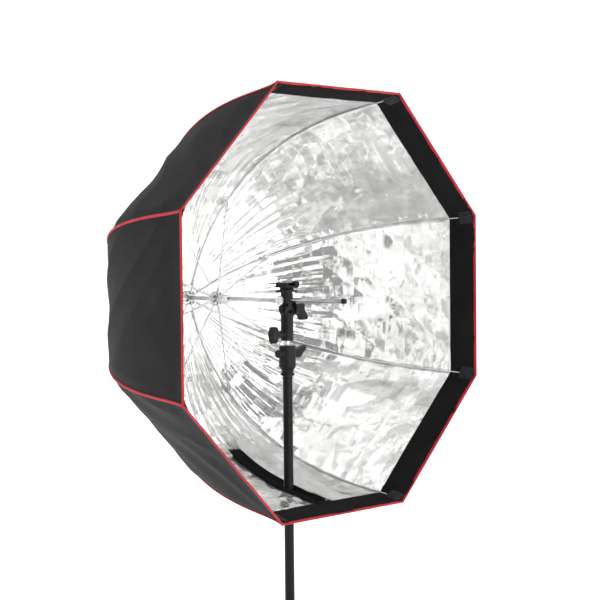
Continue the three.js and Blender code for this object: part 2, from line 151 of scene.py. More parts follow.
def makeWorld(settings):
    world = bpy.data.worlds.new("studio")
    scene.world = world
    world.use_nodes = True
    nodes, links = world.node_tree.nodes, world.node_tree.links
    nodes.clear()
    out = nodes.new("ShaderNodeOutputWorld")
    mix = nodes.new("ShaderNodeMixShader")
    path = nodes.new("ShaderNodeLightPath")
    seen = nodes.new("ShaderNodeBackground")
    seen.inputs["Color"].default_value = (1, 1, 1, 1)
    seen.inputs["Strength"].default_value = settings["backdrop"]
    around = nodes.new("ShaderNodeBackground")
    coords = nodes.new("ShaderNodeTexCoord")
    facing = addNode(nodes, "ShaderNodeVectorMath", operation="DOT_PRODUCT")
    facing.inputs[1].default_value = Vector(settings["towardsPaper"]).normalized()
    remap = nodes.new("ShaderNodeMapRange")
    remap.inputs["From Min"].default_value = -1.0
    remap.inputs["From Max"].default_value = 1.0
    links.new(coords.outputs["Generated"], facing.inputs[0])
    links.new(facing.outputs["Value"], remap.inputs["Value"])
    ramp = nodes.new("ShaderNodeValToRGB")
    ramp.color_ramp.interpolation = "EASE"
    ramp.color_ramp.elements[0].position = 0.28
    ramp.color_ramp.elements[0].color = (*settings["dimRoom"], 1)
    ramp.color_ramp.elements[1].position = 0.62
    ramp.color_ramp.elements[1].color = (*settings["paper"], 1)
    links.new(remap.outputs["Result"], ramp.inputs[0])
    links.new(ramp.outputs[0], around.inputs["Color"])
    links.new(path.outputs["Is Camera Ray"], mix.inputs[0])
    links.new(around.outputs[0], mix.inputs[1])
    links.new(seen.outputs[0], mix.inputs[2])
    links.new(mix.outputs[0], out.inputs[0])


def makeLamps(settings):
    for name, (place, target, width, height, watts) in settings["lamps"].items():
        data = bpy.data.lights.new(name, "AREA")
        data.shape = "RECTANGLE"
        data.size, data.size_y = width, height
        data.energy = watts
        lamp = bpy.data.objects.new(name, data)
        scene.collection.objects.link(lamp)
        lamp.location = place
        aim = Vector(place) - Vector(target)
        lamp.rotation_mode = "QUATERNION"
        lamp.rotation_quaternion = aim.to_track_quat("Z", "Y")


def addMesh(name, vertices, faces, materials, faceMaterials=None, uvs=None, smooth=True):
    mesh = bpy.data.meshes.new(name)
    mesh.from_pydata([tuple(v) for v in vertices], [], [tuple(f) for f in faces])
    for material in materials:
        mesh.materials.append(material)
    if faceMaterials is not None:
        mesh.polygons.foreach_set("material_index", np.asarray(faceMaterials, np.int32))
    if uvs is not None:
        layer = mesh.uv_layers.new(name="cloth")
        corners = np.zeros(len(mesh.loops), np.int32)
        mesh.loops.foreach_get("vertex_index", corners)
        layer.data.foreach_set("uv", np.asarray(uvs, np.float32)[corners].ravel())
    mesh.polygons.foreach_set("use_smooth", np.full(len(mesh.polygons), smooth))
    mesh.validate()
    mesh.update()
    piece = bpy.data.objects.new(name, mesh)
    scene.collection.objects.link(piece)
    return piece


def gridFaces(rows, columns, start=0, flip=False):
    i, j = np.meshgrid(np.arange(rows - 1), np.arange(columns - 1), indexing="ij")
    a = (start + i * columns + j).ravel()
    quads = np.stack([a, a + 1, a + 1 + columns, a + columns], axis=1)
    return quads[:, ::-1] if flip else quads


def newMaterial(name):
    material = bpy.data.materials.new(name)
    material.use_nodes = True
    nodes, links = material.node_tree.nodes, material.node_tree.links
    return material, nodes, links, nodes["Principled BSDF"]


def addNode(nodes, kind, **values):
    node = nodes.new(kind)
    for key, value in values.items():
        if key in node.inputs:
            node.inputs[key].default_value = value
        else:
            setattr(node, key, value)
    return node


def colourBetween(nodes, links, factor, dark, light, low=0.3, high=0.7):
    ramp = nodes.new("ShaderNodeValToRGB")
    ramp.color_ramp.elements[0].position = low
    ramp.color_ramp.elements[0].color = (*dark, 1)
    ramp.color_ramp.elements[1].position = high
    ramp.color_ramp.elements[1].color = (*light, 1)
    links.new(factor, ramp.inputs[0])
    return ramp.outputs[0]


def addBump(nodes, links, height, distance, strength, before=None):
    bump = addNode(nodes, "ShaderNodeBump", Distance=distance, Strength=strength)
    links.new(height, bump.inputs["Height"])
    if before is not None:
        links.new(before, bump.inputs["Normal"])
    return bump.outputs[0]


def spread(nodes, links, value, low, high):
    remap = nodes.new("ShaderNodeMapRange")
    remap.inputs["To Min"].default_value = low
    remap.inputs["To Max"].default_value = high
    links.new(value, remap.inputs["Value"])
    return remap.outputs["Result"]


def weaveHeight(nodes, links, coords, pitch):
    warp = addNode(nodes, "ShaderNodeTexWave", bands_direction="X", Scale=0.314 / pitch)
    weft = addNode(nodes, "ShaderNodeTexWave", bands_direction="Y", Scale=0.314 / pitch)
    both = addNode(nodes, "ShaderNodeMath", operation="MAXIMUM")
    for wave, socket in ((warp, 0), (weft, 1)):
        links.new(coords, wave.inputs["Vector"])
        links.new(wave.outputs["Fac"], both.inputs[socket])
    return both.outputs[0]


def vectorMath(nodes, links, operation, first, second=None):
    node = addNode(nodes, "ShaderNodeVectorMath", operation=operation)
    for k, value in enumerate((first, second)):
        if isinstance(value, tuple):
            node.inputs[k].default_value = value
        elif value is not None:
            links.new(value, node.inputs[k])
    return node.outputs["Value" if operation == "DOT_PRODUCT" else "Vector"]


def patchHeight(nodes, links, coords, wide, high, seed):
    # packing folds cross each other, and each patch between them leans its own way
    scaled = vectorMath(nodes, links, "MULTIPLY", coords, (1 / wide, 1 / high, 0))
    moved = vectorMath(nodes, links, "ADD", scaled, (seed, 0.7 * seed, seed))
    cell = vectorMath(nodes, links, "FLOOR", moved)
    within = vectorMath(nodes, links, "FRACTION", moved)
    centred = vectorMath(nodes, links, "SUBTRACT", within, (0.5, 0.5, 0))
    metres = vectorMath(nodes, links, "MULTIPLY", centred, (wide, high, 0))
    chance = addNode(nodes, "ShaderNodeTexWhiteNoise", noise_dimensions="3D")
    links.new(cell, chance.inputs["Vector"])
    lean = vectorMath(nodes, links, "SUBTRACT", chance.outputs["Color"], (0.5, 0.5, 0.5))
    return vectorMath(nodes, links, "DOT_PRODUCT", metres, lean)


# the silver side's creases and wear: sizes in metres, and how steeply each layer leans the light
foil = {
    "dull": (0.74, 0.74, 0.725),
    "bright": (0.96, 0.96, 0.96),
    "wearFrom": 0.35,
    "wearTo": 0.62,
    "smoothest": 0.09,
    "roughest": 0.18,
    "metallic": 0.80,
    # wide, high, seed, lean
    "broadPatch": (0.044, 0.021, 3.1, 0.24),
    "smallPatch": (0.019, 0.012, 7.7, 0.11),
    "weavePitch": 0.0026,
}


def makeLining():
    material, nodes, links, shader = newMaterial("crinkledSilverLining")
    uv = addNode(nodes, "ShaderNodeUVMap", uv_map="cloth").outputs[0]
    patches = addNode(nodes, "ShaderNodeTexNoise", Scale=16.0, Detail=3.0)
    stretched = addNode(nodes, "ShaderNodeMapping")
    stretched.inputs["Scale"].default_value = (1.0, 0.35, 1.0)
    links.new(uv, stretched.inputs[0])
    links.new(stretched.outputs[0], patches.inputs["Vector"])
    warped = addNode(nodes, "ShaderNodeMixRGB", Fac=0.012)
    stir = addNode(nodes, "ShaderNodeTexNoise", Scale=22.0, Detail=2.0)
    links.new(uv, stir.inputs["Vector"])
    links.new(uv, warped.inputs[1])
    links.new(stir.outputs["Color"], warped.inputs[2])
    fine = addNode(nodes, "ShaderNodeTexNoise", Scale=420.0, Detail=3.0, Roughness=0.6)
    links.new(uv, fine.inputs["Vector"])
    weave = weaveHeight(nodes, links, uv, foil["weavePitch"])
    wear = patches.outputs["Fac"]
    colour = colourBetween(nodes, links, wear, foil["dull"], foil["bright"], foil["wearFrom"], foil["wearTo"])
    links.new(colour, shader.inputs["Base Color"])
    links.new(spread(nodes, links, wear, foil["smoothest"], foil["roughest"]), shader.inputs["Roughness"])
    shader.inputs["Metallic"].default_value = foil["metallic"]
    normal = None
    for wide, high, seed, lean in (foil["broadPatch"], foil["smallPatch"]):
        patch = patchHeight(nodes, links, warped.outputs[0], wide, high, seed)
        normal = addBump(nodes, links, patch, 1.0, lean, normal)
    normal = addBump(nodes, links, fine.outputs["Fac"], 0.0004, 0.15, normal)
    normal = addBump(nodes, links, weave, 0.0003, 0.15, normal)
    links.new(normal, shader.inputs["Normal"])
    return material


def makeCloth(name, dark, light, pitch, roughness, sheen, fuzz=0.0):
    material, nodes, links, shader = newMaterial(name)
    uv = addNode(nodes, "ShaderNodeUVMap", uv_map="cloth").outputs[0]
    worn = addNode(nodes, "ShaderNodeTexNoise", Scale=14.0, Detail=4.0)
    links.new(uv, worn.inputs["Vector"])
    weave = weaveHeight(nodes, links, uv, pitch)
    nap = addNode(nodes, "ShaderNodeTexNoise", Scale=900.0, Detail=2.0)
    links.new(uv, nap.inputs["Vector"])
    wear = worn.outputs["Fac"]
    links.new(colourBetween(nodes, links, wear, dark, light), shader.inputs["Base Color"])
    links.new(spread(nodes, links, wear, roughness - 0.08, roughness + 0.08), shader.inputs["Roughness"])
    shader.inputs["Specular IOR Level"].default_value = 0.08
    shader.inputs["Sheen Weight"].default_value = sheen
    shader.inputs["Sheen Roughness"].default_value = 0.5
    normal = addBump(nodes, links, weave, 0.0004, 0.35)
    normal = addBump(nodes, links, nap.outputs["Fac"], 0.0006, 0.15 + fuzz, normal)
    links.new(normal, shader.inputs["Normal"])
    return material


def makeHard(name, dark, light, roughness, metallic, grain, coat=0.0):
    material, nodes, links, shader = newMaterial(name)
    coords = nodes.new("ShaderNodeTexCoord").outputs["Object"]
    cloud = addNode(nodes, "ShaderNodeTexNoise", Scale=35.0, Detail=4.0)
    speck = addNode(nodes, "ShaderNodeTexNoise", Scale=1400.0, Detail=2.0)
    for noise in (cloud, speck):
        links.new(coords, noise.inputs["Vector"])
    wear = cloud.outputs["Fac"]
    links.new(colourBetween(nodes, links, wear, dark, light), shader.inputs["Base Color"])
    links.new(spread(nodes, links, wear, roughness * 0.75, roughness * 1.25), shader.inputs["Roughness"])
    shader.inputs["Metallic"].default_value = metallic
    shader.inputs["Specular IOR Level"].default_value = 0.5 if metallic else 0.16
    shader.inputs["Coat Weight"].default_value = coat
    links.new(addBump(nodes, links, speck.outputs["Fac"], 0.0004, grain), shader.inputs["Normal"])
    return material


# cloth: darkest and lightest colour, weave pitch in metres, roughness, sheen, fuzz
# hard: darkest and lightest colour, roughness, metallic, grain
finishes = {
    "lining": makeLining(),
    "outer": makeCloth("blackCanopyCloth", (0.010, 0.010, 0.0106), (0.017, 0.017, 0.018), 0.0012, 0.60, 0.0),
    "band": makeCloth(
        "hookAndLoopBand", (0.0075, 0.0075, 0.008), (0.012, 0.012, 0.0125), 0.0016, 0.9, 0.0, 0.5
    ),
    "pocket": makeCloth("pocketCloth", (0.018, 0.018, 0.020), (0.030, 0.030, 0.034), 0.0011, 0.8, 0.05),
    "binding": makeCloth("redBinding", (0.36, 0.016, 0.026), (0.50, 0.030, 0.042), 0.0010, 0.55, 0.08),
    "rod": makeHard("brightSteelRod", (0.48, 0.48, 0.48), (0.66, 0.66, 0.66), 0.24, 1.0, 0.05),
    "chrome": makeHard("chromedShaft", (0.34, 0.34, 0.35), (0.46, 0.46, 0.47), 0.10, 1.0, 0.02),
    "steel": makeHard("satinSteel", (0.50, 0.50, 0.51), (0.68, 0.68, 0.69), 0.24, 1.0, 0.08),
    "plastic": makeHard("blackNylon", (0.007, 0.007, 0.0075), (0.016, 0.016, 0.017), 0.36, 0.0, 0.35),
    "paint": makeHard("blackPaintedTube", (0.003, 0.003, 0.0034), (0.007, 0.007, 0.0074), 0.30, 0.0, 0.12),
}
print("materials made")

# the canopy's shape: eight gores of cloth on a rib outline that is one Bezier curve
# t goes from 0 at the rim to 1 at the crown, and u from -1 to 1 across a gore
canopy = {
    "sides": 8,
    # from rim to crown, as (depth behind the rim, radius)
    "ribControls": ((0, 0.433), (0.0648, 0.402), (0.4109, 0.4308), (0.4699, 0.1684), (0.4418, 0.012)),
    "ribLength": 0.698,
    "sag": 0.003,
    "apex": 0.975,
    "cloth": 0.0012,
    "rows": 170,
    "columns": 36,
    # a gore's middle stays with the shaft up to the first distance, and moves with its rib from the second
    "holdMiddle": 0.013,
    "followRib": 0.125,
    "places": ("Top", "TopRight", "Right", "BottomRight", "Bottom", "BottomLeft", "Left", "TopLeft"),
}
halfAngle = math.pi / canopy["sides"]
gradients = np.random.default_rng(11).uniform(0, 2 * math.pi, (64, 64))


def nodeName(prefix, place):
    return prefix + "".join("_" + c.lower() if c.isupper() else c for c in place)


def smooth(low, high, value):
    x = np.clip((value - low) / (high - low), 0, 1)
    return x * x * (3 - 2 * x)


def cloudAt(x, y, seed):
    # gradient noise on a lattice, from -0.7 to 0.7
    x, y = x + 13.7 * seed, y + 7.3 * seed
    column, row = np.floor(x).astype(int), np.floor(y).astype(int)
    fx, fy = x - column, y - row

    def corner(dx, dy):
        angle = gradients[(column + dx) % 64, (row + dy) % 64]
        return np.cos(angle) * (fx - dx) + np.sin(angle) * (fy - dy)

    sx, sy = fx**3 * (fx * (fx * 6 - 15) + 10), fy**3 * (fy * (fy * 6 - 15) + 10)
    low = corner(0, 0) + sx * (corner(1, 0) - corner(0, 0))
    high = corner(0, 1) + sx * (corner(1, 1) - corner(0, 1))
    return low + sy * (high - low)


def creasedAt(x, y, seed):
    # the same noise folded at zero, so that it makes sharp creases, from 0 to 1
    return 1 - np.clip(np.abs(cloudAt(x, y, seed)) * 2.2, 0, 1)


def tentAt(x):
    # a zigzag from 0 to 1
    return np.abs((x % 1.0) * 2 - 1)


def tiltedAt(x, y, seed):
    # a patchwork of small flat facets, each with its own slope
    column, row = np.floor(x).astype(int), np.floor(y).astype(int)
    turn = gradients[(column * 7 + row * 3 + seed) % 64, (row * 5 + column + seed) % 64]
    return (x - column - 0.5) * np.cos(turn) + (y - row - 0.5) * np.sin(turn)


def curvePoint(t):
    points = [np.array(p, float) for p in canopy["ribControls"]]
    t = np.asarray(t, float)[..., None]
    while len(points) > 1:
        points = [a + (b - a) * t for a, b in zip(points, points[1:])]
    return points[0]


def outline(t, outwards):
    here, step = curvePoint(t), curvePoint(t + 1e-3) - curvePoint(t - 1e-3)
    step /= np.linalg.norm(step, axis=-1, keepdims=True)
    return here[..., 0] - outwards * step[..., 1], here[..., 1] + outwards * step[..., 0]


def curveAtDepth(depth):
    t = np.linspace(0, 0.6, 2000)
    return float(np.interp(depth, curvePoint(t)[:, 0], t))


def clothPlace(t, u):
    # metres along the rib and across the gore
    return t * canopy["ribLength"], u * curvePoint(t)[..., 1] * math.sin(halfAngle)


# heights and spacings of the folds, in metres
softFolds = {
    "diagonal": 0.0058,
    "diagonalPitch": 0.11,
    "diagonalLength": 0.26,
    "pleat": 0.0046,
    "ripple": 0.0007,
    "rippleWide": 0.045,
    "rippleHigh": 0.06,
}


def outerFolds(t, u, gore):
    # the black side: broad slanting folds that run out at the ribs and the hem
    s, w = clothPlace(t, u)
    slack = smooth(0.0, 0.16, 1 - np.abs(u)) * smooth(0.03, 0.12, s) * (1 - smooth(0.94, 0.99, t))
    dome = smooth(0.45, 0.72, t)
    slant = s * 0.8 + w * (0.9 if gore % 2 else -0.9)
    lengthwise = (w - 0.5 * s) / softFolds["diagonalLength"]
    diagonal = creasedAt(slant / softFolds["diagonalPitch"], lengthwise, gore + 2) * softFolds["diagonal"]
    pleat = creasedAt(u * 4.2, t * 2.2, gore + 7) * softFolds["pleat"] * curvePoint(t)[..., 1] / 0.4
    across, lengthwise = w / softFolds["rippleWide"], s / softFolds["rippleHigh"]
    ripple = cloudAt(across, lengthwise, gore + 15) * softFolds["ripple"]
    return slack * (diagonal * (1 - dome) + pleat * dome + ripple)


def straightCreases(w, s, seed, pitch, slope):
    # zigzags in several directions, each only here and there, as in crushed foil pulled flat again
    total = 0.0
    for k, degrees in enumerate((8, 47, 81, 118, 154)):
        angle = math.radians(degrees + 11 * math.sin(seed * 2.3 + k))
        span = pitch * (1 + 0.35 * math.sin(seed + 1.7 * k))
        bend = 0.35 * cloudAt(w / (3 * pitch), s / (3 * pitch), seed + k)
        fold = tentAt((w * math.cos(angle) + s * math.sin(angle)) / span + bend + 0.37 * k)
        here = smooth(0.02, 0.22, cloudAt(w / (1.9 * pitch), s / (2.4 * pitch), seed + 11 + k))
        total = total + here * fold * slope * span / 2
    return total


# heights and spacings in metres, but broad and hem are slopes
foilFolds = {
    "cross": 0.0014,
    "crossPitch": 0.036,
    "along": 0.0006,
    "alongPitch": 0.047,
    "facet": 0.0005,
    "facetWide": 0.034,
    "facetHigh": 0.026,
    "broad": 0.026,
    "broadPitch": 0.034,
    "hem": 0.060,
    "hemPitch": 0.012,
    "pleat": 0.0017,
}


def liningFolds(t, u, gore):
    # the silver side: packed folds across the ribs, flat facets, and fine crumpling near the hem
    s, w = clothPlace(t, u)
    edge = smooth(0.0, 0.035, 1 - np.abs(u)) * smooth(0.058, 0.100, s) * (1 - smooth(0.93, 0.985, t))
    girth = curvePoint(t)[..., 1] / 0.4
    nearRib = 1 - smooth(0.10, 0.32, 1 - np.abs(u))
    dome = smooth(0.46, 0.62, t)
    stir = cloudAt(w / 0.09, s / 0.11, gore + 50)
    cross = tentAt(s / foilFolds["crossPitch"] + 0.8 * stir) * (0.3 + 0.7 * nearRib) * foilFolds["cross"]
    along = tentAt(w / foilFolds["alongPitch"] + 0.5 * stir) * foilFolds["along"]
    column, row = w / foilFolds["facetWide"] + 0.5 * stir, s / foilFolds["facetHigh"] + 0.3 * stir
    facet = (0.6 + tiltedAt(column, row, gore)) * foilFolds["facet"]
    broad = straightCreases(w, s, gore + 3, foilFolds["broadPitch"], foilFolds["broad"])
    loose = smooth(-0.1, 0.3, cloudAt(w / 0.12, s / 0.16, gore + 5) + 0.45 - 2.4 * s)
    hem = straightCreases(w, s, gore + 31, foilFolds["hemPitch"], foilFolds["hem"]) * loose
    radial = tentAt(u * 5.5 + 0.5 * cloudAt(u * 3, t * 4, gore + 40)) + 0.5 * tentAt(u * 11.5 + 0.6 * stir)
    pleat = radial * foilFolds["pleat"] * girth
    front = (1 - dome) * (cross + along + facet)
    back = dome * (pleat + 0.5 * cross)
    return edge * (front + broad * (1 - 0.4 * dome) + hem + back)


def goreAngle(i):
    return math.pi / 2 - 2 * math.pi * i / canopy["sides"]


def onGore(i, t, u, outwards):
    t, u = np.broadcast_arrays(np.asarray(t, float), np.asarray(u, float))
    sag = canopy["sag"] * np.sin(np.pi * np.minimum(1, t / 0.985)) * (1 - u * u)
    depth, radius = outline(t, outwards - sag)
    out, across = radius * math.cos(halfAngle), u * outline(t, 0.0)[1] * math.sin(halfAngle)
    turn = goreAngle(i)
    x = out * math.cos(turn) - across * math.sin(turn)
    z = out * math.sin(turn) + across * math.cos(turn)
    return np.stack([x, rimY + depth, axisHeight + z], axis=-1)


def normalsOf(surface, t, u):
    # unit normals of a surface(t, u), pointing out of the canopy
    step = 1.5e-3
    alongRib = surface(t + step, u) - surface(t - step, u)
    acrossGore = surface(t, u + step) - surface(t, u - step)
    normal = np.cross(acrossGore, alongRib)
    return normal / np.linalg.norm(normal, axis=-1, keepdims=True)


def clothPiece(name, outerSide, innerSide, t, u, uv, materials):
    # a closed thin shell of two faces and a turned edge, shaded by its own surfaces' normals
    t, u = np.broadcast_arrays(t, u)
    rows, columns = t.shape
    count = rows * columns
    points = np.concatenate([side(t, u).reshape(-1, 3) for side in (outerSide, innerSide)])
    facing = normalsOf(outerSide, t, u).reshape(-1, 3), -normalsOf(innerSide, t, u).reshape(-1, 3)
    ring = list(range(columns))
    ring += [i * columns + columns - 1 for i in range(1, rows)]
    ring += [(rows - 1) * columns + j for j in range(columns - 2, -1, -1)]
    ring += [i * columns for i in range(rows - 2, 0, -1)]
    edge = [[ring[k - 1], ring[k], ring[k] + count, ring[k - 1] + count] for k in range(len(ring))]
    first, second = gridFaces(rows, columns), gridFaces(rows, columns, count, flip=True)
    faces = [*first, *second, *edge]
    quad = points[first[0]]
    if np.dot(np.cross(quad[1] - quad[0], quad[2] - quad[0]), facing[0][first[0][0]]) < 0:
        faces = [face[::-1] for face in faces]
    kinds = [0] * len(first) + [1] * len(second) + [0] * len(edge)
    piece = addMesh(name, points, faces, materials, kinds, np.concatenate([uv, uv]))
    piece.data.normals_split_custom_set_from_vertices(np.concatenate(facing).tolist())
    return piece


def sideWord(side):
    return "Clockwise" if side < 0 else "Counter"


def ribOf(i, side):
    # side -1 is the half beside the rib of the gore's own number, +1 the half beside the one before
    return i + 1 if side < 0 else (i - 1) % canopy["sides"] + 1


def gather(piece, i, side):
    # the middle of a gore stays with the shaft, and its edge goes with the rib
    turn = goreAngle(i)
    across = Vector((-math.sin(turn), 0, math.cos(turn))) * side
    axis = Vector((0, rimY, axisHeight))
    start, end = (axis + across * canopy[key] for key in ("holdMiddle", "followRib"))
    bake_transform(piece, "shaft", f"rib_{ribOf(i, side)}", start=start, end=end)


def followSeam(piece, rib):
    # what is sewn along a rib moves as the cloth there does
    turn = goreAngle(rib - 1) - halfAngle
    radial = Vector((math.cos(turn), 0, math.sin(turn))) / math.sin(halfAngle)
    axis = Vector((0, rimY, axisHeight))
    start, end = (axis + radial * canopy[key] for key in ("holdMiddle", "followRib"))
    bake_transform(piece, "shaft", f"rib_{rib}", start=start, end=end)


slit = {
    "from": 0.062,  # depth behind the rim
    "to": 0.300,
    "half": 0.0118,  # half the opening
    "lip": 0.0109,  # where a strip turns down, from the slit's middle
    "outer": 0.0215,  # a strip's outer edge
    "narrowing": 0.0055,  # how much narrower a strip is at its rear end
    "bead": 0.0034,  # how far a strip stands off the lining beside the opening
    "drop": 0.014,  # how far a strip hangs through the opening
    "bend": 0.0016,
    "under": 0.0022,  # from the lining to the strip
    "halfThick": 0.0005,
    "threadRadius": 0.0006,
    "threadSteps": 9,
    "threadSides": 5,
}


def slitU(t):
    # how far the slit reaches across the bottom gore at t, as a share of its half width
    depth, radius = outline(t, 0.0)
    ends = smooth(-0.003, 0, depth - slit["from"]) * smooth(-0.003, 0, slit["to"] - depth)
    return ends * slit["half"] / (radius * math.sin(halfAngle)) * (t < 0.6)


def makeGoreHalf(i, side):
    place = canopy["places"][i]
    half = canopy["cloth"] / 2
    t = np.linspace(0, canopy["apex"], canopy["rows"])[:, None]
    share = np.linspace(1, 0, canopy["columns"])[None, :]
    inner = slitU(t) if place == "Bottom" else 0 * t
    u = side * (inner + (1 - inner) * share)
    s, w = clothPlace(t, u)
    uv = np.stack([w, np.broadcast_to(s, w.shape)], axis=-1).reshape(-1, 2) + i

    def outerSide(t, u):
        return onGore(i, t, u, half + outerFolds(t, u, i))

    def innerSide(t, u):
        return onGore(i, t, u, -half + outerFolds(t, u, i) - liningFolds(t, u, i))

    name = f"gore{place}{sideWord(side)}Half"
    piece = clothPiece(name, outerSide, innerSide, t, u, uv, [finishes["outer"], finishes["lining"]])
    if side < 0:
        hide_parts(nodeName("gore", place))
    gather(piece, i, side)
    plain = onGore(i, t, u, 0.0)
    strips = np.cross(plain[1:, :-1] - plain[:-1, :-1], plain[:-1, 1:] - plain[:-1, :-1])
    flat = (float(curvePoint(0.0)[1]) * math.sin(halfAngle) * 1.02, canopy["ribLength"])
    return piece, flat, float(np.linalg.norm(strips, axis=-1).sum())


band = {"depth": 0.056, "thickness": 0.0009, "under": 0.0008, "rows": 12, "columns": 30}


def makeBandHalf(i, side):
    place = canopy["places"][i]
    top = -canopy["cloth"] / 2 - band["under"]
    t = np.linspace(0.002, curveAtDepth(band["depth"]), band["rows"])[:, None]
    u = side * np.linspace(1, 0, band["columns"])[None, :]
    s, w = clothPlace(t, u)
    uv = np.stack([w, np.broadcast_to(s, w.shape)], axis=-1).reshape(-1, 2)

    def rumple(t, u):
        s, w = clothPlace(t, u)
        return cloudAt(w / 0.05, s / 0.05, i + 60) * 0.0010 * smooth(0.0, 0.1, 1 - np.abs(u))

    def outerSide(t, u):
        return onGore(i, t, u, top + rumple(t, u))

    def innerSide(t, u):
        return onGore(i, t, u, top - band["thickness"] + rumple(t, u))

    name = f"rimBand{place}{sideWord(side)}Half"
    piece = clothPiece(name, outerSide, innerSide, t, u, uv, [finishes["band"], finishes["band"]])
    if side < 0:
        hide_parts(nodeName("rim_band", place))
    gather(piece, i, side)
    return piece


binding = {"halfDepth": 0.0034, "halfThick": 0.0019, "depth": 0.0012, "steps": 60, "around": 12}


def makeBindingHalf(i, side):
    # red tape folded over the hem
    place = canopy["places"][i]
    share = np.linspace(1, 0, binding["steps"])
    turns = np.linspace(0, 2 * math.pi, binding["around"], endpoint=False)
    width = float(curvePoint(0.0)[1]) * math.sin(halfAngle)
    points, uvs = [], []
    for k, x in enumerate(share):
        rim = onGore(i, 0.0, side * x, -0.0006)
        outer = onGore(i, 0.0, side * x, 0.0094) - rim
        outer /= np.linalg.norm(outer)
        back = onGore(i, 0.004, side * x, -0.0006) - rim
        back /= np.linalg.norm(back)
        pucker = 1 + 0.16 * cloudAt(np.asarray(x * 17), np.asarray(0.5), i + 40 + side)
        wander = cloudAt(np.asarray(x * 6.0), np.asarray(0.3), i + 70)
        lift = 0.0006 * wander * smooth(0, 0.1, 1 - x) * (x > 0)
        centre = rim + back * binding["depth"] + outer * lift
        for m, angle in enumerate(turns):
            thick = binding["halfThick"] * pucker * math.sin(angle)
            points.append(centre + back * binding["halfDepth"] * math.cos(angle) + outer * thick)
            uvs.append((x * width, 0.014 * m / binding["around"]))
    name = f"rimBinding{place}{sideWord(side)}Half"
    piece = tubeMesh(name, points, binding["steps"], binding["around"], finishes["binding"], uvs)
    gather(piece, i, side)
    return piece


def tubeMesh(name, points, steps, around, material, uvs):
    # a ring of points for each step, closed at both ends
    faces = []
    for k in range(steps - 1):
        for m in range(around):
            here, after = k * around, (m + 1) % around
            faces.append((here + m, here + after, here + around + after, here + around + m))
    faces.append(tuple(range(around - 1, -1, -1)))
    faces.append(tuple((steps - 1) * around + m for m in range(around)))
    piece = addMesh(name, points, faces, [material], uvs=uvs)
    turnFacesOut(piece)
    return piece


def turnFacesOut(piece):
    mesh = bmesh.new()
    mesh.from_mesh(piece.data)
    bmesh.ops.recalc_face_normals(mesh, faces=mesh.faces)
    mesh.to_mesh(piece.data)
    mesh.free()


def makeCanopy():
    for i in range(canopy["sides"]):
        for side in (-1, 1):
            gore, flat, area = makeGoreHalf(i, side)
            trim = [makeBandHalf(i, side), makeBindingHalf(i, side)]


makeCanopy()
print("canopy sewn")


def makeSlitLip(side):
    # a hook-and-loop strip whose inner edge turns down through the slit
    i = canopy["places"].index("Bottom")
    first, last = curveAtDepth(slit["from"] + 0.001), curveAtDepth(slit["to"] - 0.001)
    t = np.linspace(first, last, 90)[:, None]
    bend, under = slit["bend"], canopy["cloth"] / 2 + slit["under"]
    top = -under - slit["bead"]
    flatWidth = slit["outer"] - slit["lip"] - bend
    # the section, from the outer edge: flat, then round the bend, then down
    path = [(slit["outer"] - flatWidth * k / 6, -under - slit["bead"] * (k / 6) ** 2) for k in range(7)]
    for k in range(1, 5):
        angle = math.pi / 2 * k / 4
        path.append((slit["lip"] + bend - bend * math.sin(angle), top + bend - bend * math.cos(angle)))
    path += [(slit["lip"], top + bend + (slit["drop"] - top - bend) * k / 7) for k in range(1, 8)]
    path = np.array(path)
    along = np.gradient(path, axis=0)
    along /= np.linalg.norm(along, axis=1, keepdims=True)
    v = np.arange(len(path), dtype=float)[None, :]

    def layer(offset):
        def surface(t, v):
            at = [np.interp(v, np.arange(len(path)), path[:, k]) for k in (0, 1)]
            way = [np.interp(v, np.arange(len(path)), along[:, k]) for k in (0, 1)]
            flat = np.clip(1 - v / 6, 0, 1)
            wave = 0.0034 * cloudAt(t * 30, v * 0.1, 80 + side)
            wave += 0.0012 * cloudAt(t * 110, v * 0.1, 84 + side)
            narrow = slit["narrowing"] * smooth(first + 0.10, last, t)
            across = at[0] + (wave - narrow) * flat - way[1] * offset
            half = curvePoint(t)[..., 1] * math.sin(halfAngle)
            return onGore(i, t, side * across / half, at[1] + way[0] * offset)
        return surface

    tt, vv = np.broadcast_arrays(t, v)
    uv = np.stack([vv * 0.0017, tt * canopy["ribLength"]], axis=-1).reshape(-1, 2)
    name = "slitLip" + ("Left" if side < 0 else "Right")
    upper, lower = layer(slit["halfThick"]), layer(-slit["halfThick"])
    piece = clothPiece(name, upper, lower, t, v, uv, [finishes["band"], finishes["band"]])
    turnFacesOut(piece)
    return piece


def makeSlitPatch(side, near, far, jagged):
    # the strip's flat end, where the two sides meet
    i = canopy["places"].index("Bottom")
    t = np.linspace(curveAtDepth(near), curveAtDepth(far), 8)[:, None]
    v = np.linspace(0.0, 1.0, 26)[None, :]
    under = canopy["cloth"] / 2 + slit["under"]
    wide = slit["outer"] - (slit["narrowing"] if jagged else 0)

    def layer(offset):
        def surface(t, v):
            share = (t - t.min()) / max(1e-6, t.max() - t.min())
            teeth = cloudAt(v * 9, 0 * v + 0.4, 90 + side) + 0.8 * cloudAt(v * 26, 0 * v, 95)
            fray = jagged * share * teeth
            half = curvePoint(t)[..., 1] * math.sin(halfAngle)
            return onGore(i, t + fray, side * wide * (1 - v) / half, -under + offset)
        return surface

    tt, vv = np.broadcast_arrays(t, v)
    uv = np.stack([vv * slit["outer"], tt * canopy["ribLength"]], axis=-1).reshape(-1, 2)
    name = ("slitTail" if jagged else "slitFoot") + ("Left" if side < 0 else "Right")
    upper, lower = layer(slit["halfThick"]), layer(-slit["halfThick"])
    piece = clothPiece(name, upper, lower, t, v, uv, [finishes["band"], finishes["band"]])
    turnFacesOut(piece)
    return piece


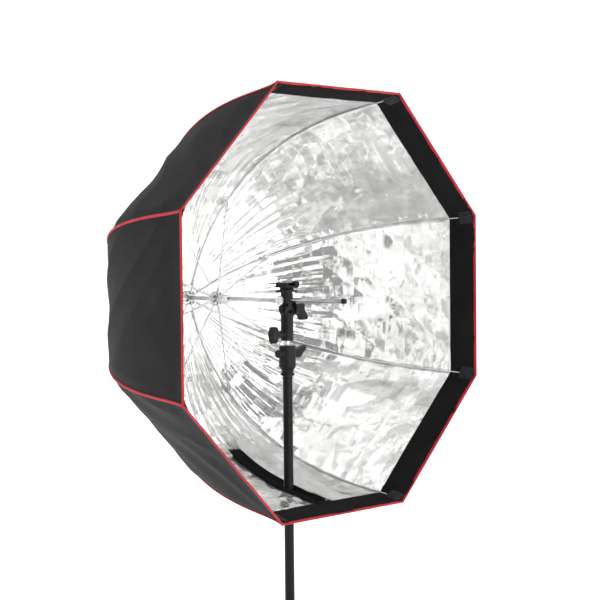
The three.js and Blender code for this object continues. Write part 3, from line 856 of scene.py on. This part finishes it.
def makeLooseThread(side, k):
    # a thread pulled from the cut end of the strip
    i = canopy["places"].index("Bottom")
    start, reach = curveAtDepth(slit["to"] + 0.004), 0.011 + 0.008 * abs(math.sin(3.1 * k + side))
    steps, sides, radius = slit["threadSteps"], slit["threadSides"], slit["threadRadius"]
    points, uvs = [], []
    for step in range(steps):
        t = np.asarray(start + reach * step / (steps - 1) / canopy["ribLength"] * 1.3)
        wander = 0.004 * float(cloudAt(np.asarray(step * 0.3), np.asarray(0.4), 7 * k + side))
        across = side * (0.002 + 0.0042 * k) + wander
        half = float(curvePoint(t)[1]) * math.sin(halfAngle)
        centre = onGore(i, t, across / half, -0.0032 - 0.0006 * step)
        for m in range(sides):
            angle = 2 * math.pi * m / sides
            points.append(centre + np.array([math.cos(angle), 0, math.sin(angle)]) * radius)
            uvs.append((m * radius, step * 0.002))
    return tubeMesh(f"slitThread{sideWord(side)}{k}", points, steps, sides, finishes["band"], uvs)


def makeSlit():
    bottom = canopy["places"].index("Bottom")
    for side, node in ((-1, "slit_strip_left"), (1, "slit_strip_right")):
        lip = makeSlitLip(side)
        ends = [makeSlitPatch(side, slit["from"] - 0.010, slit["from"] - 0.0005, 0.0)]
        ends.append(makeSlitPatch(side, slit["to"] - 0.012, slit["to"] + 0.008, 0.016))
        ends += [makeLooseThread(side, k) for k in range(4)]
        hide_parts(node)
        for piece in (lip, *ends):
            gather(piece, bottom, side)


makeSlit()
print("slit lined")

piping = {"halfWide": 0.0030, "halfThick": 0.0013, "outwards": 0.0014, "steps": 110, "around": 10}


def makeSeamTape(rib):
    # red tape over the seam between two gores
    t = np.linspace(0.001, 0.968, piping["steps"])
    depth, radius = outline(t, piping["outwards"])
    turn = goreAngle(rib - 1) - halfAngle
    radial = np.array([math.cos(turn), 0, math.sin(turn)])
    sideways = np.array([-math.sin(turn), 0, math.cos(turn)])
    points, uvs = [], []
    for k in range(piping["steps"]):
        slope = curvePoint(t[k] + 1e-3) - curvePoint(t[k] - 1e-3)
        slope /= np.linalg.norm(slope)
        out = radial * slope[0] - np.array([0, 1, 0]) * slope[1]
        centre = radial * radius[k] + np.array([0, rimY + depth[k], axisHeight])
        pucker = 1 + 0.10 * cloudAt(np.asarray(t[k] * 60), np.asarray(0.2), rib + 30)
        for m in range(piping["around"]):
            angle = 2 * math.pi * m / piping["around"]
            across = piping["halfWide"] * math.cos(angle)
            rise = piping["halfThick"] * pucker * math.sin(angle) - abs(across) * math.tan(halfAngle)
            points.append(centre + sideways * across + out * rise)
            uvs.append((t[k] * canopy["ribLength"], 0.012 * m / piping["around"]))
    piece = tubeMesh(f"seamTape{rib}", points, piping["steps"], piping["around"], finishes["binding"], uvs)
    followSeam(piece, rib)


pocket = {
    "near": 0.0035,
    "far": 0.031,
    "half": 0.013,
    "lift": 0.0062,
    "thickness": 0.0009,
    "rows": 10,
    "columns": 21,
}


def makeTipPocket(rib):
    # a small pouch in the corner of the hem that holds a rib's end
    t = np.linspace(curveAtDepth(pocket["near"]), curveAtDepth(pocket["far"]), pocket["rows"])[:, None]
    v = np.linspace(-1, 1, pocket["columns"])[None, :]
    turn = goreAngle(rib - 1) - halfAngle

    def layer(offset):
        def surface(t, v):
            share = np.clip((t - curveAtDepth(pocket["near"])) / curveAtDepth(pocket["far"]), 0, 1)
            hump = (1 - smooth(0.1, 0.95, np.abs(v))) * (0.45 + 0.55 * smooth(0, 0.5, share)) * pocket["lift"]
            across = v * pocket["half"]
            depth, radius = outline(t, -0.0026 - hump - offset)
            radius = radius - np.abs(across) * math.tan(halfAngle)
            x = radius * math.cos(turn) - across * math.sin(turn)
            z = radius * math.sin(turn) + across * math.cos(turn)
            return np.stack([x, rimY + depth, axisHeight + z], axis=-1)
        return surface

    tt, vv = np.broadcast_arrays(t, v)
    uv = np.stack([vv * pocket["half"], tt * canopy["ribLength"]], axis=-1).reshape(-1, 2)
    cloths = [finishes["pocket"], finishes["pocket"]]
    piece = clothPiece(f"tipPocket{rib}", layer(0.0), layer(pocket["thickness"]), t, v, uv, cloths)
    turnFacesOut(piece)
    followSeam(piece, rib)


for rib in range(1, canopy["sides"] + 1):
    makeSeamTape(rib)
    makeTipPocket(rib)
print("seams taped")

# what the frame already made
keptFinish = {
    "rod": [f"rib_{k}" for k in range(1, 9)] + [f"stretcher_{k}" for k in range(1, 9)],
    "chrome": ["shaft"],
    "steel": [
        "crown",
        "runner",
        "crown_hinge_ring",
        "runner_hinge_ring",
        "shaft_lock_screw",
        "inner_tube",
        "spigot",
    ],
    "paint": ["column_tube", "cold_shoe", "tilt_bolt"],
    "plastic": [
        "shaft_end_cap",
        "crown_cap",
        "runner_button",
        "tilt_head",
        "shoe_base",
        "shoe_lock_ring",
        "shoe_clamp_knob",
        "socket_body",
        "socket_lock_knob",
        "tilt_lever",
        "column_end_plug",
        "clamp_collar",
        "clamp_wing_knob",
        "clamp_nut",
    ],
}


edges = {"width": 0.0005, "segments": 2, "sharp": math.radians(32)}


def softenEdges(piece):
    weld = piece.modifiers.new("weld", "WELD")
    weld.merge_threshold = 0.00002
    bevel = piece.modifiers.new("edges", "BEVEL")
    bevel.width = edges["width"]
    bevel.segments = edges["segments"]
    bevel.limit_method = "ANGLE"
    bevel.angle_limit = edges["sharp"]
    bevel.harden_normals = True


def dressNodes():
    for finish, nodes in keptFinish.items():
        for node in nodes:
            piece = frame["nodes"][node]
            piece.data.materials.clear()
            piece.data.materials.append(finishes[finish])
            normals = piece.data.attributes.get("custom_normal")
            if normals is not None:
                piece.data.attributes.remove(normals)
            piece.data.polygons.foreach_set("use_smooth", np.ones(len(piece.data.polygons), bool))
            softenEdges(piece)


dressNodes()
print("frame dressed")

# turned pieces with ridges for the fingers, each on the body of a frame node, from the shaft's axis
grips = {
    "lockRing": {"on": "shoe_lock_ring", "axis": "Z", "from": 0.0197, "to": 0.0245, "height": 0.0,
                 "radius": 0.0135, "hole": 0.0, "ridges": 40, "ridge": 0.0005, "finish": "plastic"},
    "lockScrewGrip": {"on": "shaft_lock_screw", "axis": "X", "from": -0.0236, "to": -0.0170, "height": 0.0,
                      "radius": 0.0084, "hole": 0.0, "ridges": 30, "ridge": 0.0004, "finish": "steel"},
    "shoeKnobGrip": {"on": "shoe_clamp_knob", "axis": "X", "from": 0.0196, "to": 0.0294, "height": 0.030,
                     "radius": 0.0066, "hole": 0.0, "ridges": 24, "ridge": 0.0004, "finish": "plastic"},
    "leverWasher": {"on": "tilt_lever", "axis": "X", "from": 0.0126, "to": 0.0154, "height": -0.016,
                    "radius": 0.0148, "hole": 0.0086, "ridges": 0, "ridge": 0.0, "finish": "plastic"},
}


def makeGrip(name, settings):
    # a ring or disc turned about its axis, its rim cut into round ridges
    chamfer, low, high = 0.0006, settings["from"], settings["to"]
    inner, outer = max(settings["hole"], 0.0002), settings["radius"]
    # radius, place along the axis, and whether the ridges cut it
    profile = [
        (inner, low, 0),
        (outer - chamfer, low, 0),
        (outer, low + chamfer, 1),
        (outer, high - chamfer, 1),
        (outer - chamfer, high, 0),
        (inner, high, 0),
    ]
    around = max(64, settings["ridges"] * 6)
    points, uvs = [], []
    for m in range(around):
        angle = 2 * math.pi * m / around
        for k, (radius, along, ridged) in enumerate(profile):
            reach = radius + ridged * settings["ridge"] * math.cos(angle * settings["ridges"])
            a, b = reach * math.cos(angle), reach * math.sin(angle)
            spot = (along, a, b + settings["height"]) if settings["axis"] == "X" else (a, b, along)
            points.append((spot[0], spot[1], spot[2] + axisHeight))
            uvs.append((angle * outer, 0.002 * k))
    count = len(profile)
    faces = []
    for m in range(around):
        for k in range(count):
            here, beside, after = m * count, (m + 1) % around * count, (k + 1) % count
            faces.append((here + k, beside + k, beside + after, here + after))
    piece = addMesh(name, points, faces, [finishes[settings["finish"]]], uvs=uvs)
    turnFacesOut(piece)
    piece.data.set_sharp_from_angle(angle=edges["sharp"])
    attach(piece, body_of(frame["nodes"][settings["on"]])[0])
    return piece


for name, settings in grips.items():
    grip = makeGrip(name, settings)
    if settings["on"] == "shoe_lock_ring":
        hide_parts("shoe_lock_ring")
print("grips turned")


def makeFloor(settings):
    half = settings["floorHalf"]
    corners = [(-half, -half, 0), (half, -half, 0), (half, half, 0), (-half, half, 0)]
    material, _, _, shader = newMaterial("paleFloor")
    shader.inputs["Base Color"].default_value = settings["floorColor"]
    shader.inputs["Emission Color"].default_value = settings["floorColor"]
    shader.inputs["Emission Strength"].default_value = settings["floorGlow"]
    shader.inputs["Roughness"].default_value = 0.9
    floor = addMesh("floor", corners, [(0, 1, 2, 3)], [material])
    floor.location.z = -0.0005


makeFloor(studioSettings)
makeWorld(studioSettings)
makeLamps(studioSettings)
print("studio lit")
